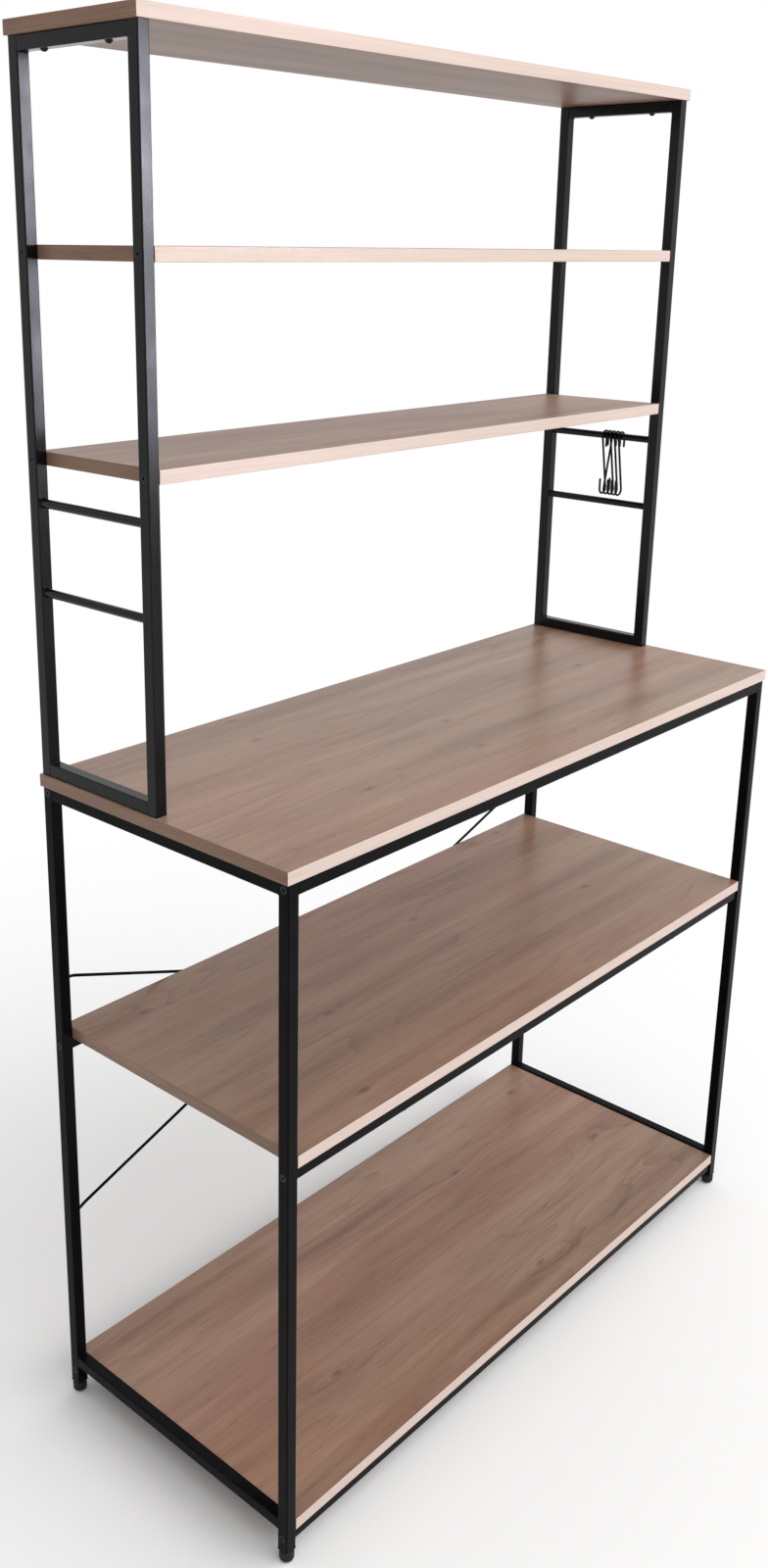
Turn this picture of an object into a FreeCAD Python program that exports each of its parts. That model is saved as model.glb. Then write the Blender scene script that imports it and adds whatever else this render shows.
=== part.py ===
"""Kitchen shelf: a square-tube table frame with a worktop and two boards, and a narrow open hutch
on the worktop's rear half.

Millimetres. +X is to the right, +Y to the back, +Z up. The origin is on the floor, under the middle.
"""
import FreeCAD
import Part
import math
import os

Vector = FreeCAD.Vector
X, Y, Z = Vector(1, 0, 0), Vector(0, 1, 0), Vector(0, 0, 1)

# Boards: wood-grain laminate on particle board, one thickness throughout
board_thickness = 15.0
board_edge_radius = 0.8
worktop_width = 1000.0
worktop_depth = 400.0

# Heights of the top faces above the floor
worktop_height = 865.0
mid_shelf_height = 535.0
bottom_shelf_height = 55.0

# Heights of the hutch's top faces above the worktop
lower_hutch_shelf_rise = 370.0
upper_hutch_shelf_rise = 585.0
top_board_rise = 800.0

# Square tube of the frames, and the flat tube of the rails that carry the two shelves
tube_size = 15.0
tube_wall = 1.2
tube_corner_radius = 1.5
shelf_rail_depth = 10.0
shelf_rail_height = 15.0

# Where the base frame lies under the worktop
end_overhang = 3.0
front_overhang = 1.5
back_overhang = 2.0
bottom_rail_lip = 2.5
shelf_end_gap = 0.3

# Hutch: side frames flush with the base frame's back
hutch_depth = 200.0
top_board_overhang = 3.0
hook_rod_diameter = 10.0
upper_hook_rod_rise = 315.0
lower_hook_rod_rise = 215.0

# Crossed brace rods on the back legs: heights of their screws, and how the rods pass behind the boards
brace_low_height = 258.0
brace_high_height = 600.0
brace_rod_diameter = 4.0
brace_gap = 0.3
brace_tab_width = 10.0
brace_tab_thickness = 2.0
brace_tab_reach = 14.0
brace_crank_length = 16.0
brace_bend_radius = 18.0

# Levelling feet, and the plugs in the leg ends that they screw into
foot_diameter = 18.0
foot_height = 14.0
foot_edge_radius = 4.5
foot_top_chamfer = 1.0
stud_diameter = 6.0
foot_clearance = 0.3
stud_reach = 1.0
plug_flange = 1.5
plug_depth = 9.0
plug_clearance = 0.1

# S-hooks on the right frame's upper rod
hook_count = 5
turned_hook = 4
hook_pitch = 7.0
hook_bunch_offset = -22.0
hook_wire_diameter = 3.2
hook_loop_radius = 8.0
hook_drop = 90.0
hook_tip_length = 14.0
hook_clearance = 0.3

# Fasteners
screw_diameter = 4.0
pan_head_diameter = 8.5
pan_head_height = 3.0
bolt_diameter = 5.0
flat_head_diameter = 9.0
socket_width = 3.0
socket_depth = 1.6
hole_clearance = 0.1
screw_cover = 4.0
shelf_screw_bite = 25.0
brace_screw_length = 8.0
rail_plug_length = 20.0
nut_width = 8.0
nut_height = 4.0
worktop_screw_pitch = 300.0
shelf_screw_pitch = 600.0
hutch_bolt_pitch = 100.0
top_board_screw_pitch = 100.0

# Places that follow from the sizes above
brace_reach = 2 * (brace_gap + brace_rod_diameter)
overall_depth = worktop_depth - back_overhang + max(back_overhang, brace_reach)
worktop_front = -overall_depth / 2
worktop_back = worktop_front + worktop_depth
leg_front = worktop_front + front_overhang
leg_back = worktop_back - back_overhang
frame_outer = worktop_width / 2 - end_overhang
frame_inner = frame_outer - tube_size
frame_middle = frame_outer - tube_size / 2
worktop_under = worktop_height - board_thickness
leg_bottom = foot_height + foot_clearance + plug_flange

hutch_back = leg_back
hutch_front = hutch_back - hutch_depth
hutch_middle = (hutch_front + hutch_back) / 2
top_board_top = worktop_height + top_board_rise
hutch_top = top_board_top - board_thickness

sides = {"left": -1, "right": 1}
leg_rows = {
    "front": (leg_front, leg_front + tube_size),
    "back": (leg_back - tube_size, leg_back),
}
upright_rows = {
    "front": (hutch_front, hutch_front + tube_size),
    "back": (hutch_back - tube_size, hutch_back),
}
holes = []


def save(name, *solids):
    """Write one node: a single solid, or a group of like solids."""
    shape = solids[0] if len(solids) == 1 else Part.makeCompound(list(solids))
    shape.exportStep(f"parts/{name}.step")


def box_between(corner, opposite):
    """A plain block between two opposite corners, given in any order."""
    low = Vector(*map(min, corner, opposite))
    high = Vector(*map(max, corner, opposite))
    return Part.makeBox(high.x - low.x, high.y - low.y, high.z - low.z, low)


def drilled(shape):
    """The shape with the hole of every fastener that passes through it."""
    through = [hole for hole in holes if hole.BoundBox.intersect(shape.BoundBox)]
    return shape.cut(through) if through else shape


def board(corner, opposite):
    """A laminated board with its edges eased all round."""
    block = box_between(corner, opposite)
    return drilled(block.makeFillet(board_edge_radius, block.Edges))


def tube(corner, opposite, axis):
    """A tube that fills the block between two corners and is open at both ends along axis."""
    block = box_between(corner, opposite)
    along = [edge for edge in block.Edges if abs(edge.tangentAt(edge.FirstParameter).dot(axis)) > 0.99]
    inset = Vector(1, 1, 1) * tube_wall - axis * (2 * tube_wall)
    low = Vector(block.BoundBox.XMin, block.BoundBox.YMin, block.BoundBox.ZMin)
    high = Vector(block.BoundBox.XMax, block.BoundBox.YMax, block.BoundBox.ZMax)
    return drilled(block.makeFillet(tube_corner_radius, along).cut(box_between(low + inset, high - inset)))


def revolved(*edges):
    """A solid turned about Z from a closed outline in the XZ plane."""
    outline = Part.Wire(Part.__sortEdges__([edge.toShape() for edge in edges]))
    return Part.Face(outline).revolve(Vector(), Z, 360)


def line(*places):
    """A straight edge between two places of the XZ plane."""
    return Part.LineSegment(*(Vector(x, 0, z) for x, z in places))


def arc(*places):
    """An arc through three places of the XZ plane."""
    return Part.Arc(*(Vector(x, 0, z) for x, z in places))


def placed(shape, point, direction):
    """A copy of a shape made along +Z from the origin, put at a point and turned to a direction."""
    copy = shape.copy()
    copy.Placement = FreeCAD.Placement(point, FreeCAD.Rotation(Z, direction))
    return copy


def hexagon(width, depth, height):
    """A six-sided prism, measured across its flats, from a height upwards."""
    corner = width / math.sqrt(3)
    turns = [math.radians(60 * k) for k in range(7)]
    rim = Part.makePolygon([Vector(corner * math.cos(t), corner * math.sin(t), height) for t in turns])
    return Part.Face(rim).extrude(Z * depth)


def rod(diameter, length):
    """A round bar along +Z from the origin."""
    return Part.makeCylinder(diameter / 2, length)


def pan_screw(diameter, length):
    """A dome-headed socket screw, its head's seat at the origin and its shank along +Z."""
    rim, shank = pan_head_diameter / 2, diameter / 2
    dome = (rim ** 2 + pan_head_height ** 2) / (2 * pan_head_height)
    half_turn = math.atan2(rim, dome - pan_head_height) / 2
    crown = (0, -pan_head_height)
    bulge = (dome * math.sin(half_turn), dome * (1 - math.cos(half_turn)) - pan_head_height)
    outline = [(rim, 0), (shank, 0), (shank, length), (0, length), crown]
    solid = revolved(arc(crown, bulge, (rim, 0)), *(line(a, b) for a, b in zip(outline, outline[1:])))
    return solid.cut(hexagon(socket_width, socket_depth, -pan_head_height))


def flat_bolt(diameter, length, room=0.0):
    """A flush socket bolt, its face at the origin and its shank along +Z, or with room its hole."""
    rim = flat_head_diameter / 2 + room
    depth = (flat_head_diameter - diameter) / 2
    shank = diameter / 2 + room
    end = length + room
    outline = [(0, 0), (rim, 0), (shank, depth), (shank, end), (0, end)]
    solid = revolved(*(line(a, b) for a, b in zip(outline, outline[1:] + outline[:1])))
    return solid if room else solid.cut(hexagon(socket_width, socket_depth, 0))


def fasteners(name, solid, hole, places):
    """Write one group of like fasteners, and note the holes that they pass through."""
    save(name, *(placed(solid, point, direction) for point, direction in places))
    holes.extend(placed(hole, point, direction) for point, direction in places)


def pan_screws(name, length, places):
    """A group of dome-headed screws."""
    hole = rod(screw_diameter + 2 * hole_clearance, length + hole_clearance)
    fasteners(name, pan_screw(screw_diameter, length), hole, places)


def flat_bolts(name, diameter, length, places):
    """A group of flush bolts."""
    fasteners(name, flat_bolt(diameter, length), flat_bolt(diameter, length, hole_clearance), places)


def piped(edges, diameter):
    """A round wire along a path of tangent lines and arcs."""
    path = Part.Wire(edges)
    first = edges[0]
    start = first.valueAt(first.FirstParameter)
    ring = Part.Wire(Part.makeCircle(diameter / 2, start, first.tangentAt(first.FirstParameter)))
    return path.makePipeShell([ring], True, False)


def rounded_path(points, radius):
    """Edges along straight runs, with an arc of the given radius at each corner."""
    edges = []
    start = points[0]
    for before, corner, after in zip(points, points[1:], points[2:]):
        back, ahead = (before - corner).normalize(), (after - corner).normalize()
        half = back.getAngle(ahead) / 2
        inward = (back + ahead).normalize()
        centre = corner + inward * (radius / math.sin(half))
        first = corner + back * (radius / math.tan(half))
        last = corner + ahead * (radius / math.tan(half))
        edges.append(Part.LineSegment(start, first).toShape())
        edges.append(Part.Arc(first, centre - inward * radius, last).toShape())
        start = last
    edges.append(Part.LineSegment(start, points[-1]).toShape())
    return edges


os.makedirs("parts", exist_ok=True)

# Long rails: bottom, top and depth; those of the worktop as deep as the legs, the others thinner
mid_shelf_under = mid_shelf_height - board_thickness
bottom_shelf_under = bottom_shelf_height - board_thickness
rail_levels = {
    "worktop": (worktop_under - tube_size, worktop_under, tube_size),
    "mid_shelf": (mid_shelf_under - shelf_rail_height, mid_shelf_under, shelf_rail_depth),
    "bottom_shelf": (bottom_shelf_under - shelf_rail_height, bottom_shelf_under, shelf_rail_depth),
}
row_middles = {row: sum(faces) / 2 for row, faces in leg_rows.items()}

# Bolts through the legs into the long rails' ends
flat_bolts("frame_bolts", bolt_diameter, tube_size + rail_plug_length, [
    (Vector(side * frame_outer, y, (low + high) / 2), X * -side)
    for side in sides.values() for y in row_middles.values() for low, high, _ in rail_levels.values()])

# Screws up through the long rails into the boards
for name, (low, high, _) in rail_levels.items():
    rail_screw_rows = (-worktop_screw_pitch, 0, worktop_screw_pitch)
    if name != "worktop":
        rail_screw_rows = (-shelf_screw_pitch / 2, shelf_screw_pitch / 2)
    pan_screws(f"{name}_screws", high - low + board_thickness - screw_cover, [
        (Vector(x, y, low), Z) for x in rail_screw_rows for y in row_middles.values()])

# Bolts up through the top side rails and the worktop into the hutch's bottom rails, with nuts inside those
hutch_bolt_rows = [hutch_middle - hutch_bolt_pitch / 2, hutch_middle + hutch_bolt_pitch / 2]
pan_screws("hutch_bolts", tube_size + board_thickness + tube_wall + nut_height, [
    (Vector(side * frame_middle, y, worktop_under - tube_size), Z)
    for side in sides.values() for y in hutch_bolt_rows])
nut_seat = worktop_height + tube_wall
save("hutch_nuts", *(
    drilled(placed(hexagon(nut_width, nut_height, 0), Vector(side * frame_middle, y, nut_seat), Z))
    for side in sides.values() for y in hutch_bolt_rows))

# Screws up through the hutch's top rails into the top board
pan_screws("top_board_screws", tube_size + board_thickness - screw_cover, [
    (Vector(side * frame_middle, hutch_middle + end * top_board_screw_pitch / 2, hutch_top - tube_size), Z)
    for side in sides.values() for end in (-1, 1)])

# Flush screws through the uprights into the ends of the hutch shelves
hutch_shelf_tops = {
    "hutch_lower_shelf": worktop_height + lower_hutch_shelf_rise,
    "hutch_upper_shelf": worktop_height + upper_hutch_shelf_rise,
}
flat_bolts("hutch_shelf_screws", screw_diameter, tube_size + shelf_end_gap + shelf_screw_bite, [
    (Vector(side * frame_outer, sum(faces) / 2, top - board_thickness / 2), X * -side)
    for side in sides.values() for faces in upright_rows.values() for top in hutch_shelf_tops.values()])

# Screws through the braces' flattened ends into the back legs
brace_ends = {-1: brace_low_height, 1: brace_high_height}
pan_screws("brace_screws", brace_tab_thickness + brace_screw_length, [
    (Vector(side * frame_middle, leg_back + brace_tab_thickness, height), -Y)
    for side in sides.values() for height in brace_ends.values()])

# Legs and the plugs in their ends
for side_name, side in sides.items():
    for row, (near, far) in leg_rows.items():
        save(f"leg_{row}_{side_name}",
             tube(Vector(side * frame_outer, near, leg_bottom),
                  Vector(side * frame_inner, far, worktop_under), Z))

stud_top = leg_bottom + plug_depth + stud_reach
stud_hole = rod(stud_diameter + 2 * foot_clearance, stud_top)
flange_half = tube_size / 2
plug_half = flange_half - tube_wall - plug_clearance
leg_plugs = []
for side in sides.values():
    for y in row_middles.values():
        foot = Vector(side * frame_middle, y, 0)
        flange = box_between(foot + Vector(-flange_half, -flange_half, leg_bottom - plug_flange),
                             foot + Vector(flange_half, flange_half, leg_bottom))
        body = box_between(foot + Vector(-plug_half, -plug_half, leg_bottom),
                           foot + Vector(plug_half, plug_half, leg_bottom + plug_depth))
        leg_plugs.append(flange.fuse(body).cut(placed(stud_hole, foot, Z)))
save("leg_plugs", *leg_plugs)

# Levelling feet: a rounded glide with a threaded stud
glide = foot_diameter / 2
flat = glide - foot_edge_radius
stud = stud_diameter / 2
shoulder = (glide, foot_edge_radius)
swell = (flat + foot_edge_radius * math.sin(math.pi / 4), foot_edge_radius * (1 - math.cos(math.pi / 4)))
foot_outline = [shoulder, (glide, foot_height - foot_top_chamfer), (glide - foot_top_chamfer, foot_height),
                (stud, foot_height), (stud, stud_top), (0, stud_top), (0, 0), (flat, 0)]
foot_sides = [line(a, b) for a, b in zip(foot_outline, foot_outline[1:])]
foot_solid = revolved(arc((flat, 0), swell, shoulder), *foot_sides)
for side_name, side in sides.items():
    for row, y in row_middles.items():
        save(f"foot_{row}_{side_name}", placed(foot_solid, Vector(side * frame_middle, y, 0), Z))

# Side rails of the base frame
bottom_rail_top = bottom_shelf_height + bottom_rail_lip
for side_name, side in sides.items():
    for name, top in (("top", worktop_under), ("bottom", bottom_rail_top)):
        save(f"base_{name}_rail_{side_name}",
             tube(Vector(side * frame_outer, leg_rows["front"][1], top - tube_size),
                  Vector(side * frame_inner, leg_rows["back"][0], top), Y))

# Long rails between the side frames, and the threaded plugs in their ends
rail_plugs = []
for name, (low, high, depth) in rail_levels.items():
    for row, y in row_middles.items():
        save(f"{name}_rail_{row}",
             tube(Vector(-frame_inner, y - depth / 2, low), Vector(frame_inner, y + depth / 2, high), X))
        room = tube_wall + plug_clearance
        for side in sides.values():
            rail_plugs.append(drilled(box_between(
                Vector(side * frame_inner, y - depth / 2 + room, low + room),
                Vector(side * (frame_inner - rail_plug_length), y + depth / 2 - room, high - room))))
save("rail_plugs", *rail_plugs)

# Boards of the base
save("worktop", board(Vector(-worktop_width / 2, worktop_front, worktop_under),
                      Vector(worktop_width / 2, worktop_back, worktop_height)))
shelf_half_width = frame_inner - shelf_end_gap
for name, top in (("mid_shelf", mid_shelf_height), ("bottom_shelf", bottom_shelf_height)):
    save(name, board(Vector(-shelf_half_width, leg_front, top - board_thickness),
                     Vector(shelf_half_width, leg_back, top)))

# Crossed brace rods: flattened ends on the legs, cranked to pass behind the boards and each other
brace_run = Vector(2 * frame_middle, 0, brace_high_height - brace_low_height)
brace_slope = math.degrees(math.atan2(brace_run.z, brace_run.x))
brace_centre = Vector(0, leg_back, (brace_low_height + brace_high_height) / 2)
half_run = brace_run.Length / 2
tab_middle = brace_tab_thickness / 2
tab_half = brace_tab_width / 2


def brace_tab(end):
    """A flattened rod end with a round nose, lying on the leg about its screw."""
    nose = Part.makeCylinder(tab_half, brace_tab_thickness, Vector(end * half_run, 0, 0), Y)
    strip = box_between(Vector(end * half_run, 0, -tab_half),
                        Vector(end * (half_run - brace_tab_reach), brace_tab_thickness, tab_half))
    return nose.fuse(strip)


for name, slope, layer in (("brace_rod_rising", brace_slope, 0), ("brace_rod_falling", -brace_slope, 1)):
    offset = brace_gap + brace_rod_diameter / 2 + layer * (brace_rod_diameter + brace_gap)
    crank_start = half_run - brace_tab_reach
    crank_end = crank_start - brace_crank_length
    route = [Vector(-half_run + tab_half, tab_middle, 0), Vector(-crank_start, tab_middle, 0),
             Vector(-crank_end, offset, 0), Vector(crank_end, offset, 0),
             Vector(crank_start, tab_middle, 0), Vector(half_run - tab_half, tab_middle, 0)]
    wire = piped(rounded_path(route, brace_bend_radius), brace_rod_diameter)
    flattened = [box_between(Vector(end * (half_run + tab_half), -brace_rod_diameter, -tab_half),
                             Vector(end * crank_start, brace_rod_diameter, tab_half)) for end in (-1, 1)]
    shape = wire.cut(flattened).fuse([brace_tab(-1), brace_tab(1)]).removeSplitter()
    shape.Placement = FreeCAD.Placement(brace_centre, FreeCAD.Rotation(Y, -slope))
    save(name, drilled(shape))

# Hutch: side frames of uprights and rails, with two hook rods each
for side_name, side in sides.items():
    for row, (near, far) in upright_rows.items():
        save(f"hutch_upright_{row}_{side_name}",
             tube(Vector(side * frame_outer, near, worktop_height),
                  Vector(side * frame_inner, far, hutch_top), Z))
    for name, low in (("bottom", worktop_height), ("top", hutch_top - tube_size)):
        save(f"hutch_{name}_rail_{side_name}",
             tube(Vector(side * frame_outer, upright_rows["front"][1], low),
                  Vector(side * frame_inner, upright_rows["back"][0], low + tube_size), Y))
    for name, rise in (("upper", upper_hook_rod_rise), ("lower", lower_hook_rod_rise)):
        start = Vector(side * frame_middle, upright_rows["front"][1], worktop_height + rise)
        save(f"hook_rod_{name}_{side_name}",
             placed(rod(hook_rod_diameter, hutch_depth - 2 * tube_size), start, Y))

# Boards of the hutch
for name, top in hutch_shelf_tops.items():
    save(name, board(Vector(-shelf_half_width, hutch_front, top - board_thickness),
                     Vector(shelf_half_width, hutch_back, top)))
top_board_half_width = frame_outer + top_board_overhang
save("top_board", board(Vector(-top_board_half_width, hutch_front - top_board_overhang, hutch_top),
                        Vector(top_board_half_width, hutch_back + top_board_overhang, top_board_top)))

# S-hooks: two equal loops joined by the straight line that touches both, all but one facing the same way
wire_radius = hook_wire_diameter / 2
upper_centre = hook_rod_diameter / 2 + hook_clearance + wire_radius - hook_loop_radius
lower_centre = wire_radius + hook_loop_radius - hook_drop
lean = math.asin(2 * hook_loop_radius / (upper_centre - lower_centre))
touch_x = hook_loop_radius * math.cos(lean)
touch_z = hook_loop_radius * math.sin(lean)
upper_loop = [(-hook_loop_radius, upper_centre), (0, upper_centre + hook_loop_radius),
              (touch_x, upper_centre - touch_z)]
lower_loop = [(-touch_x, lower_centre + touch_z), (0, lower_centre - hook_loop_radius),
              (hook_loop_radius, lower_centre)]
upper_tip = (-hook_loop_radius, upper_centre - hook_tip_length)
lower_tip = (hook_loop_radius, lower_centre + hook_tip_length)
hook_route = [line(upper_tip, upper_loop[0]), arc(*upper_loop), line(upper_loop[2], lower_loop[0]),
              arc(*lower_loop), line(lower_loop[2], lower_tip)]
hook_ends = [Part.makeSphere(wire_radius, Vector(x, 0, z)) for x, z in (upper_tip, lower_tip)]
hook = piped([edge.toShape() for edge in hook_route], hook_wire_diameter).fuse(hook_ends)
bunch_middle = hutch_middle + hook_bunch_offset
for number in range(1, hook_count + 1):
    y = bunch_middle + (number - (hook_count + 1) / 2) * hook_pitch
    hung = hook.copy()
    hung.Placement = FreeCAD.Placement(Vector(frame_middle, y, worktop_height + upper_hook_rod_rise),
                                       FreeCAD.Rotation(Z, 0 if number == turned_hook else 180))
    save(f"s_hook_{number}", hung)
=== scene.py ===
import math

import bpy
import numpy as np
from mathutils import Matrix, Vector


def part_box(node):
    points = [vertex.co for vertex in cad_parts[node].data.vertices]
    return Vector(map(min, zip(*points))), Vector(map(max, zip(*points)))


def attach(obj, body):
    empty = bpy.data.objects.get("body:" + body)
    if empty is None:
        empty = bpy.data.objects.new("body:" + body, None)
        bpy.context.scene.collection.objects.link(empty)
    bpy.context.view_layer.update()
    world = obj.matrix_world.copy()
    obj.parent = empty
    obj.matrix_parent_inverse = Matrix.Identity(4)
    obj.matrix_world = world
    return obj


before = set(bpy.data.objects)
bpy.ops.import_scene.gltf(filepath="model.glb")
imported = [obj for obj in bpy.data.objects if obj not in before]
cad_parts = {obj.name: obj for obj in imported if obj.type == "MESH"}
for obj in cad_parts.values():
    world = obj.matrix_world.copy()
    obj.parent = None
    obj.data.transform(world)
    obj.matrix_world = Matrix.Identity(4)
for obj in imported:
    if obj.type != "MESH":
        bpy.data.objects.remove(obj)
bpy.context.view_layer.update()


# Side frames of the base: four legs of square steel tube, each pair joined by a rail at the top and one near
# the floor. The rails are butted to the legs and welded, then the frames are powder-coated satin black.
def add(tree, kind, sockets=None, **settings):
    """A shader node with its settings. A socket given another node's output is linked, any other is set."""
    node = tree.nodes.new("ShaderNode" + kind)
    for name, value in settings.items():
        setattr(node, name, value)
    for name, value in (sockets or {}).items():
        if isinstance(value, bpy.types.NodeSocket):
            tree.links.new(value, node.inputs[name])
        else:
            node.inputs[name].default_value = value
    return node


def new_finish(name):
    """A material with one shader, and where its patterns are read: object coordinates, in metres."""
    finish = bpy.data.materials.new(name)
    finish.use_nodes = True
    tree = finish.node_tree
    return finish, tree, tree.nodes["Principled BSDF"], add(tree, "TexCoord").outputs["Object"]


def noise(tree, place, spots, detail=2.0, roughness=0.5):
    """A cloud pattern from 0 to 1, with this many spots to the metre along X, Y and Z."""
    mapped = add(tree, "Mapping", {"Vector": place, "Scale": spots}).outputs["Vector"]
    sockets = {"Vector": mapped, "Scale": 1.0, "Detail": detail, "Roughness": roughness}
    return add(tree, "TexNoise", sockets).outputs["Fac"]


def between(tree, amount, low, high, start=0.0, end=1.0):
    """A number that goes from low to high as the amount goes from start to end, and stays there beyond."""
    sockets = {"Value": amount, "From Min": start, "From Max": end, "To Min": low, "To Max": high}
    return add(tree, "MapRange", sockets).outputs["Result"]


def risen(tree, amount, start, end):
    """0 where the amount is under start, 1 where it is over end, and a straight rise from one to the other."""
    return between(tree, amount, 0.0, 1.0, start, end)


def worked(tree, operation, *values):
    """One step of arithmetic on numbers."""
    return add(tree, "Math", dict(enumerate(values)), operation=operation).outputs[0]


def mixed(tree, amount, first, second, blend="MIX"):
    """Two colours mixed by an amount."""
    sockets = {0: amount, 6: first, 7: second}
    return add(tree, "Mix", sockets, data_type="RGBA", blend_type=blend).outputs[2]


def bumped(tree, shader, height, strength, depth):
    """Height, in shares of a depth in metres, becomes the shader's relief."""
    sockets = {"Height": height, "Strength": strength, "Distance": depth}
    tree.links.new(add(tree, "Bump", sockets).outputs["Normal"], shader.inputs["Normal"])


def powder_coat(name, dark, light, dullness, shine):
    """Baked powder paint: a faint cloud in its colour and dullness, rare dull scuffs, and the fine orange
    peel that the melted powder leaves."""
    finish, tree, shader, place = new_finish(name)
    scuff_colour, scuff_cover, scuff_dullness = (0.040, 0.040, 0.043, 1), 0.3, 0.12
    peel_strength, peel_depth = 0.06, 0.0004
    cloud = noise(tree, place, (26, 26, 26), 4)
    scuff = risen(tree, noise(tree, place, (95, 95, 60), 6, 0.7), 0.63, 0.74)
    peel = noise(tree, place, (620, 620, 620), 2)

    paint = mixed(tree, risen(tree, cloud, 0.3, 0.7), dark, light)
    worn = mixed(tree, worked(tree, "MULTIPLY", scuff, scuff_cover), paint, scuff_colour)
    tree.links.new(worn, shader.inputs["Base Color"])
    clouded = between(tree, cloud, *dullness, 0.3, 0.7)
    scuffed = worked(tree, "MULTIPLY_ADD", scuff, scuff_dullness, clouded)
    tree.links.new(scuffed, shader.inputs["Roughness"])
    shader.inputs["Specular IOR Level"].default_value = shine
    bumped(tree, shader, peel, peel_strength, peel_depth)
    return finish


def dress(finish, *names):
    """Give CAD nodes a finish."""
    for name in names:
        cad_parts[name].data.materials.clear()
        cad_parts[name].data.materials.append(finish)


def weld_ring(centre, half_width, half_height, squareness, bead):
    """Weld round a butted tube or rod end, in the plane across Y. On its path the distances from the middle,
    as shares of the half sizes and raised to the squareness, add up to 1. Its section is a circle on the
    path's normal, which swells with each dab of the torch as a cosine of the angle."""
    path_steps, section_steps = 160, 10
    dab_length, swell = 0.0024, 0.10
    turn = np.linspace(0, 2 * np.pi, path_steps, endpoint=False)[:, None]
    spin = np.linspace(0, 2 * np.pi, section_steps, endpoint=False)
    across, up = np.cos(turn) / half_width, np.sin(turn) / half_height
    reach = (np.abs(across) ** squareness + np.abs(up) ** squareness) ** (-1 / squareness)
    out_x = np.sign(across) * np.abs(reach * across) ** (squareness - 1) / half_width
    out_z = np.sign(up) * np.abs(reach * up) ** (squareness - 1) / half_height
    length = np.hypot(out_x, out_z)
    dabs = round(4 * (half_width + half_height) / dab_length)
    thick = bead * (1 + swell * np.cos(dabs * turn))
    return np.stack([centre[0] + reach * np.cos(turn) + thick * np.cos(spin) * out_x / length,
                     centre[1] + thick * np.sin(spin),
                     centre[2] + reach * np.sin(turn) + thick * np.cos(spin) * out_z / length], -1)


def rail_welds(rail, below, above):
    """Beads at both ends of a side rail, sunk on its flush sides, and as far below and above it as given."""
    low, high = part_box(rail)
    flush_sink, onto_rail = 0.0011, 0.0002
    squareness, bead = 8, 0.0012
    bottom, top = low.z - below, high.z + above
    middle_x, middle_z = (low.x + high.x) / 2, (bottom + top) / 2
    half_width, half_height = (high.x - low.x) / 2 - flush_sink, (top - bottom) / 2
    return [weld_ring((middle_x, y, middle_z), half_width, half_height, squareness, bead)
            for y in (low.y + onto_rail, high.y - onto_rail)]


def made(name, points, faces, finish, body):
    """A smooth new piece with its finish, which moves with a body."""
    mesh = bpy.data.meshes.new(name)
    mesh.from_pydata(points, [], faces)
    mesh.shade_smooth()
    mesh.materials.append(finish)
    piece = bpy.data.objects.new(name, mesh)
    bpy.context.scene.collection.objects.link(piece)
    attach(piece, body)


def welded(name, rings, finish):
    """One piece of the frame made of weld rings, each a grid of points that is joined round both ways."""
    around, section = rings[0].shape[:2]
    index = np.arange(len(rings) * around * section).reshape(-1, around, section)
    ahead = np.roll(index, -1, 1)
    quads = np.stack([index, np.roll(index, -1, 2), np.roll(ahead, -1, 2), ahead], -1)
    made(name, np.concatenate(rings).reshape(-1, 3), quads.reshape(-1, 4), finish, "frame")


sides = ("left", "right")
rows = ("front", "back")
corners = [f"{row}_{side}" for row in rows for side in sides]
dark_black, light_black = (0.0028, 0.0026, 0.0034, 1), (0.0052, 0.0048, 0.0060, 1)
coat_dullness = (0.15, 0.22)
# Less shine than the hutch's copy of this same coat, so that the legs stay darker: a shaded copy, painted
# shade.
satin_black = powder_coat("satin_black", dark_black, light_black, coat_dullness, 0.05)
dress(satin_black, *(f"leg_{corner}" for corner in corners))
dress(satin_black, *(f"base_{level}_rail_{side}" for level in ("top", "bottom") for side in sides))
free_face, covered_face = 0.0003, -0.0016
base_rings = []
for side in sides:
    base_rings += rail_welds(f"base_top_rail_{side}", free_face, covered_face)
    base_rings += rail_welds(f"base_bottom_rail_{side}", free_face, free_face)
welded("base_welds", base_rings, satin_black)


# Levelling feet, and the plugs in the ends of the legs and long rails: moulded black plastic with a fine
# sparked grain from the mould, a little dusty near the floor. Each foot screws into a leg's plug by its
# threaded stud.
def moulded_black(name):
    """Moulded plastic: a fine grain all over, and a dusty ring within a few millimetres of the floor."""
    finish, tree, shader, place = new_finish(name)
    plastic, dust = (0.009, 0.009, 0.010, 1), (0.09, 0.085, 0.078, 1)
    dust_cover, dust_height = 0.55, 0.006
    grain_strength, grain_depth = 0.15, 0.0003
    height = add(tree, "SeparateXYZ", {"Vector": place}).outputs["Z"]
    speckle = noise(tree, place, (900, 900, 900), 3)
    dusty = worked(tree, "MULTIPLY", between(tree, height, dust_cover, 0.0, 0.0, dust_height), speckle)
    tree.links.new(mixed(tree, dusty, plastic, dust), shader.inputs["Base Color"])
    tree.links.new(between(tree, speckle, 0.46, 0.62), shader.inputs["Roughness"])
    shader.inputs["Specular IOR Level"].default_value = 0.25
    bumped(tree, shader, speckle, grain_strength, grain_depth)
    return finish


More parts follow.
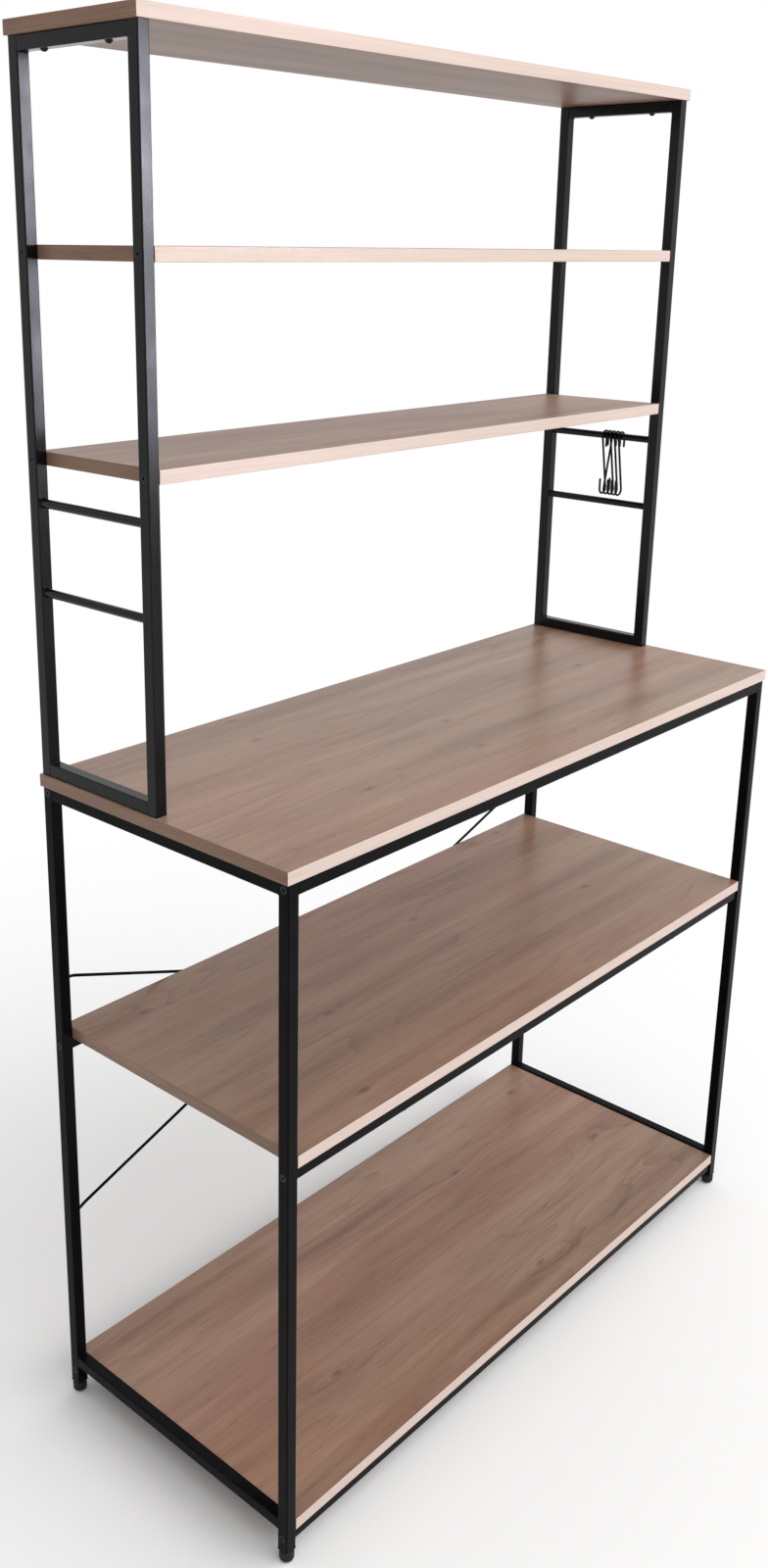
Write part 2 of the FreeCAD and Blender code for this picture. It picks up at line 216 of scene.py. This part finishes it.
def stud_thread(name, foot, finish):
    """Screw thread round a foot's stud. At each angle and height its radius is the root's, plus the crest's
    height times a triangle wave of the height in pitches less the angle in turns. A point on the axis closes
    each end."""
    low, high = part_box(foot)
    middle = (low + high) / 2
    glide_height, hidden = 0.014, 0.0003
    root, crest, pitch = 0.0029, 0.00026, 0.0012
    steps_round, steps_up = 40, 90
    turn = np.linspace(0, 2 * np.pi, steps_round, endpoint=False)
    height = np.linspace(low.z + glide_height - hidden, high.z - hidden, steps_up)[:, None]
    radius = root + crest * np.abs(2 * ((height / pitch - turn / (2 * np.pi)) % 1) - 1)
    wall = np.stack([middle.x + radius * np.cos(turn), middle.y + radius * np.sin(turn),
                     height + 0 * turn], -1)
    ends = [(middle.x, middle.y, height[0, 0]), (middle.x, middle.y, height[-1, 0])]
    points = np.concatenate([wall.reshape(-1, 3), ends])

    index = np.arange(radius.size).reshape(radius.shape)
    after = np.roll(index, -1, 1)
    quads = np.stack([index[:-1], after[:-1], after[1:], index[1:]], -1).reshape(-1, 4)
    bottom_point, top_point = radius.size, radius.size + 1
    under = np.stack([np.full(steps_round, bottom_point), after[0], index[0]], -1)
    over = np.stack([np.full(steps_round, top_point), index[-1], after[-1]], -1)
    faces = quads.tolist() + under.tolist() + over.tolist()
    made(name, points, faces, finish, foot)


foot_plastic = moulded_black("foot_plastic")
dress(foot_plastic, "leg_plugs", "rail_plugs", *(f"foot_{corner}" for corner in corners))
for corner in corners:
    stud_thread(f"stud_thread_{corner}", f"foot_{corner}", foot_plastic)


# Long rails: two under each board of the base, the worktop's of the leg tube and the shelves' of a thinner
# one, coated like the legs. They are bolted through the legs into threaded plugs in their ends.
base_boards = ("worktop", "mid_shelf", "bottom_shelf")
dress(satin_black, *(f"{board}_rail_{row}" for board in base_boards for row in rows))


# Screws, bolts and nuts: black-oxide steel with hexagon sockets. The nuts inside the hutch's rails, which the
# bolts through the worktop screw into, are zinc-plated.
def fastener_steel(name, dark, light, dullness):
    """Plated steel: metal with the blotches and faint turning marks of the plating."""
    finish, tree, shader, place = new_finish(name)
    mark_strength, mark_depth = 0.06, 0.0002
    blotch = noise(tree, place, (300, 300, 300), 3)
    tree.links.new(mixed(tree, blotch, dark, light), shader.inputs["Base Color"])
    tree.links.new(between(tree, blotch, *dullness), shader.inputs["Roughness"])
    shader.inputs["Metallic"].default_value = 0.9
    bumped(tree, shader, noise(tree, place, (1500, 1500, 1500), 1), mark_strength, mark_depth)
    return finish


black_oxide = fastener_steel("black_oxide", (0.014, 0.014, 0.016, 1), (0.034, 0.034, 0.038, 1), (0.32, 0.48))
dress(black_oxide, *(f"{held}_screws" for held in (*base_boards, "hutch_shelf", "top_board", "brace")))
dress(black_oxide, "frame_bolts", "hutch_bolts")
zinc_plate = fastener_steel("zinc_plate", (0.36, 0.37, 0.39, 1), (0.60, 0.61, 0.63, 1), (0.24, 0.40))
dress(zinc_plate, "hutch_nuts")


# Boards of the base: particle board faced with satin oak-print laminate, its grain along the length. The ends
# have the same print. The two long edges have a band painted much paler than the print: painted light for the
# window light that falls on the front edges. They are screwed to the rails from below.
def board_edges(tree, place, board):
    """Masks of a board's ends, of its long edges, and of its long edges with the seam beside them. Each is 1
    where the distance from the board's middle is over the half size, less half of the edge's rounding and,
    for the last, the seam's width."""
    low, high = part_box(board)
    half, edge_radius, seam_width = (high - low) / 2, 0.0008, 0.0003
    apart = add(tree, "VectorMath", {0: place, 1: (low + high) / 2}, operation="SUBTRACT").outputs["Vector"]
    distance = add(tree, "VectorMath", {0: apart}, operation="ABSOLUTE").outputs["Vector"]
    away = add(tree, "SeparateXYZ", {"Vector": distance}).outputs
    on_end = worked(tree, "GREATER_THAN", away["X"], half.x - edge_radius / 2)
    on_long_edge = worked(tree, "GREATER_THAN", away["Y"], half.y - edge_radius / 2)
    near_long_edge = worked(tree, "GREATER_THAN", away["Y"], half.y - edge_radius / 2 - seam_width)
    return on_end, on_long_edge, near_long_edge


def along_grain(tree, place, on_end):
    """Where the grain is read: the place itself, turned on the ends so that the print runs along them, and
    moved aside by a slow cloud."""
    sway_reach = 0.014
    axis = add(tree, "SeparateXYZ", {"Vector": place}).outputs
    turned = add(tree, "CombineXYZ", {"X": axis["Y"], "Y": axis["Z"], "Z": axis["X"]}).outputs["Vector"]
    straight = add(tree, "Mix", {0: on_end, 4: place, 5: turned}, data_type="VECTOR").outputs[1]
    sway = between(tree, noise(tree, straight, (1.6, 3.5, 3.5), 2), -sway_reach, sway_reach)
    aside = add(tree, "CombineXYZ", {"Y": sway, "Z": sway}).outputs["Vector"]
    return add(tree, "VectorMath", {0: straight, 1: aside}, operation="ADD").outputs["Vector"]


def knots(tree, grain, board_height):
    """Knots in some cells of a stretched cell pattern, which the board's height shifts so that no two boards
    match: the dark spot about each cell's point, and the hill that it raises in the growth lines."""
    shift, without_knot = (board_height * 9, board_height * 5, 0), 0.45
    spread = add(tree, "Mapping", {"Vector": grain, "Location": shift, "Scale": (3.1, 6.4, 1)})
    sockets = {"Vector": spread.outputs["Vector"], "Scale": 1.0}
    cells = add(tree, "TexVoronoi", sockets, voronoi_dimensions="2D").outputs
    chance = add(tree, "SeparateColor", {"Color": cells["Color"]}).outputs["Red"]
    has_knot = worked(tree, "GREATER_THAN", chance, without_knot)
    spot = between(tree, cells["Distance"], 1.0, 0.0, 0.006, 0.042)
    hill = between(tree, cells["Distance"], 0.045, 0.0, 0.0, 0.24)
    return worked(tree, "MULTIPLY", has_knot, spot), worked(tree, "MULTIPLY", has_knot, hill)


def growth_lines(tree, grain, knot_hill):
    """Lines along the contours of a slow hill pattern, sharp on one side, that come and go."""
    lines_to_a_hill, sharpness = 17.0, 5.0
    hills = worked(tree, "ADD", noise(tree, grain, (1.0, 8, 8), 2), knot_hill)
    contour = worked(tree, "FRACT", worked(tree, "MULTIPLY", hills, lines_to_a_hill))
    shown = risen(tree, noise(tree, grain, (2.2, 9, 9), 2), 0.40, 0.62)
    return worked(tree, "MULTIPLY", worked(tree, "POWER", contour, sharpness), shown)


def oak_laminate(board, dullness, shine):
    """Oak print as one figure from 0, dark, to 1, pale: slow streaks and fine fibres drawn out along the
    grain, less what darkens it, which is growth lines, clouds, pores and knots. A slow drift tints it. The
    long edges have a band painted much paler than the print, which is painted light for the window light on
    the front edges, and its seam."""
    finish, tree, shader, place = new_finish(board + "_oak")
    seam_colour = (0.12, 0.075, 0.055, 1)
    # The band's colours are painted light: far paler than the print, for the window light on the front edges.
    band_dark_painted_lit, band_pale_painted_lit = (0.634, 0.492, 0.432, 1), (0.784, 0.644, 0.580, 1)
    edge_dullness = 0.7
    fibre_strength, fibre_depth = 0.10, 0.0003
    on_end, on_long_edge, near_long_edge = board_edges(tree, place, board)
    grain = along_grain(tree, place, on_end)

    streaks = noise(tree, grain, (1.0, 26, 26), 6, 0.58)
    fibres = noise(tree, grain, (9, 520, 520), 3, 0.6)
    clouds = risen(tree, noise(tree, grain, (2.0, 15, 15), 5, 0.6), 0.46, 0.74)
    pores = risen(tree, noise(tree, grain, (45, 620, 620), 1), 0.58, 0.72)
    knot, knot_hill = knots(tree, grain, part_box(board)[0].z)
    lines = growth_lines(tree, grain, knot_hill)
    figure = worked(tree, "MULTIPLY_ADD", streaks, 0.66, 0.126)
    for mark, weight in ((fibres, 0.30), (lines, -0.12), (clouds, -0.18), (pores, -0.08), (knot, -0.24)):
        figure = worked(tree, "MULTIPLY_ADD", mark, weight, figure)

    print_colour = add(tree, "ValToRGB", {"Fac": figure})
    dark, pale = print_colour.color_ramp.elements
    dark.position, dark.color = 0.20, (0.124, 0.063, 0.039, 1)
    pale.position, pale.color = 0.80, (0.432, 0.273, 0.200, 1)
    print_colour.color_ramp.elements.new(0.50).color = (0.284, 0.164, 0.115, 1)
    drift = risen(tree, noise(tree, place, (1.4, 4.0, 4.0), 2), 0.36, 0.64)
    tint = mixed(tree, drift, (1.05, 0.97, 0.95, 1), (0.95, 1.01, 0.99, 1))
    oak = mixed(tree, 1.0, print_colour.outputs["Color"], tint, "MULTIPLY")
    seamed = mixed(tree, near_long_edge, oak, seam_colour)
    # Painted light: the paler band along the long edges stands in for window light on the front edges.
    painted_lit_band = mixed(tree, noise(tree, place, (7, 60, 420), 3), band_dark_painted_lit, band_pale_painted_lit)
    tree.links.new(mixed(tree, on_long_edge, seamed, painted_lit_band), shader.inputs["Base Color"])

    satin = between(tree, fibres, *dullness, 0.3, 0.7)
    matt_edge = worked(tree, "MULTIPLY", on_long_edge, edge_dullness)
    tree.links.new(worked(tree, "MAXIMUM", satin, matt_edge), shader.inputs["Roughness"])
    shader.inputs["Specular IOR Level"].default_value = shine
    bumped(tree, shader, worked(tree, "SUBTRACT", fibres, pores), fibre_strength, fibre_depth)
    return finish


for board in base_boards:
    dress(oak_laminate(board, (0.27, 0.37), 0.30), board)


# Crossed braces behind the back legs: two thin steel rods, powder-coated satin black, with flattened and
# drilled ends that are screwed to the legs.
dress(satin_black, "brace_rod_rising", "brace_rod_falling")


# Side frames of the hutch: uprights and rails of the same square tube, welded at the corners, with two round
# rods welded across each frame to hang hooks on. Their coat is the base's black coat given more shine, a lit
# copy of it: painted light for the stronger window glare on the hutch's uprights.
def rod_welds(rod):
    """Beads round both ends of a hook rod, where it meets the uprights."""
    low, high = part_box(rod)
    middle, radius = (low + high) / 2, (high.z - low.z) / 2
    squareness, bead = 2, 0.0011
    return [weld_ring((middle.x, y, middle.z), radius, radius, squareness, bead) for y in (low.y, high.y)]


hook_rods = [f"hook_rod_{level}_{side}" for level in ("upper", "lower") for side in sides]
# A lit copy of the base's coat: its extra shine is painted light for the window glare on the hutch.
hutch_black_lit_copy = powder_coat("hutch_black_lit_copy", dark_black, light_black, coat_dullness, 0.18)
dress(hutch_black_lit_copy, *(f"hutch_upright_{corner}" for corner in corners))
dress(hutch_black_lit_copy, *(f"hutch_{level}_rail_{side}" for level in ("top", "bottom") for side in sides))
dress(hutch_black_lit_copy, *hook_rods)
hutch_rings = []
for side in sides:
    hutch_rings += rail_welds(f"hutch_top_rail_{side}", free_face, covered_face)
    hutch_rings += rail_welds(f"hutch_bottom_rail_{side}", covered_face, free_face)
welded("hutch_welds", hutch_rings, hutch_black_lit_copy)
welded("hook_rod_welds", [ring for rod in hook_rods for ring in rod_welds(rod)], hutch_black_lit_copy)


# Boards of the hutch: narrower boards with the same oak print, a little duller. Two shelves are screwed
# between the uprights, and the top board lies on the top rails and is screwed from below.
for board in ("hutch_lower_shelf", "hutch_upper_shelf", "top_board"):
    dress(oak_laminate(board, (0.35, 0.45), 0.27), board)


# S-hooks: bent steel wire with a duller black coat. They hang loose on the upper rod of the hutch's right
# frame, and swing about it.
hook_black = powder_coat("hook_black", (0.005, 0.005, 0.006, 1), (0.008, 0.008, 0.010, 1), (0.24, 0.32), 0.08)
dress(hook_black, *(f"s_hook_{number}" for number in range(1, 6)))


# Studio: a pale floor that runs out into white, a soft white surround and a large weak softbox in front. Two
# narrow window strips at the front right shine on the hutch's left frame. The camera is at eye height, to the
# front left.
def seen_directly(tree):
    """1 where a ray comes from the camera or from gloss or glass, and 0 where it only gathers light."""
    rays = add(tree, "LightPath").outputs
    seen = worked(tree, "MAXIMUM", rays["Is Camera Ray"], rays["Is Glossy Ray"])
    return worked(tree, "MAXIMUM", seen, rays["Is Transmission Ray"])


floor_half, floor_drop = 30.0, 0.0003
floor_grey, floor_white = (0.64, 0.64, 0.64, 1), (0.98, 0.98, 0.98, 1)
fade_start, fade_end = 0.5, 1.8
floor_plan = ((-1, -1), (1, -1), (1, 1), (-1, 1))
floor_corners = [(x * floor_half, y * floor_half, -floor_drop) for x, y in floor_plan]
floor_mesh = bpy.data.meshes.new("floor")
floor_mesh.from_pydata(floor_corners, [], [(0, 1, 2, 3)])
floor = bpy.data.objects.new("floor", floor_mesh)
bpy.context.scene.collection.objects.link(floor)
floor_finish, tree, floor_shader, place = new_finish("pale_floor")
seen = seen_directly(tree)
tree.links.new(mixed(tree, seen, floor_grey, floor_white), floor_shader.inputs["Base Color"])
floor_shader.inputs["Roughness"].default_value = 0.9
floor_shader.inputs["Specular IOR Level"].default_value = 0.0
reach = add(tree, "VectorMath", {0: place}, operation="LENGTH").outputs["Value"]
far = worked(tree, "MULTIPLY", risen(tree, reach, fade_start, fade_end), seen)
white = add(tree, "Emission", {"Color": (1, 1, 1, 1), "Strength": 1.0})
fading = add(tree, "MixShader", {0: far, 1: floor_shader.outputs[0], 2: white.outputs[0]})
tree.links.new(fading.outputs[0], tree.nodes["Material Output"].inputs["Surface"])
floor_mesh.materials.append(floor_finish)


def facing(tree, direction):
    """How far a ray that leaves the scene points in a direction, from -1 to 1."""
    ray = add(tree, "TexCoord").outputs["Generated"]
    return add(tree, "VectorMath", {0: ray, 1: direction}, operation="DOT_PRODUCT").outputs["Value"]


world = bpy.data.worlds.new("studio")
world.use_nodes = True
bpy.context.scene.world = world
tree = world.node_tree
tree.nodes.clear()
overhead = between(tree, facing(tree, (0.25, -0.15, 0.95)), 0.24, 0.93)
ahead = between(tree, facing(tree, (0.45, -0.87, 0.20)), 0.0, 0.68)
soft = add(tree, "Background", {"Color": (1, 1, 1, 1), "Strength": worked(tree, "ADD", overhead, ahead)})
white = add(tree, "Background", {"Color": (1, 1, 1, 1), "Strength": 1.0})
blend = add(tree, "MixShader", {0: seen_directly(tree), 1: soft.outputs[0], 2: white.outputs[0]})
tree.links.new(blend.outputs[0], add(tree, "OutputWorld").inputs["Surface"])


def area_lamp(name, size, watts, location, tilt, turn):
    """A rectangular lamp, tilted up from pointing straight down and then turned about Z, in degrees."""
    light = bpy.data.lights.new(name, "AREA")
    light.shape = "RECTANGLE"
    light.size, light.size_y = size
    light.energy = watts
    lamp = bpy.data.objects.new(name, light)
    lamp.location = location
    lamp.rotation_euler = (math.radians(tilt), 0, math.radians(turn))
    bpy.context.scene.collection.objects.link(lamp)
    return light


upper_window = area_lamp("upper_window", (0.40, 1.00), 0.26, (2.10, -3.21, 1.80), 86.5, 38.3)
lower_window = area_lamp("lower_window", (0.40, 0.55), 0.085, (2.10, -3.21, 1.02), 94.4, 38.3)
for window in (upper_window, lower_window):
    window.spread = math.radians(10)
    window.color = (0.86, 0.88, 1.0)
area_lamp("softbox", (4.0, 3.0), 62.0, (1.4, -3.0, 2.7), 68.1, 26.6)

camera = bpy.data.cameras.new("camera")
camera.lens = 33.536
camera.shift_x, camera.shift_y = 0.0355, -0.0655
camera_stand = bpy.data.objects.new("camera", camera)
camera_stand.location = (-1.4415, -1.1182, 1.4530)
camera_stand.rotation_euler = (math.radians(73.358), math.radians(-0.605), math.radians(-47.275))
bpy.context.scene.collection.objects.link(camera_stand)
bpy.context.scene.camera = camera_stand
bpy.context.scene.view_settings.view_transform = "Standard"
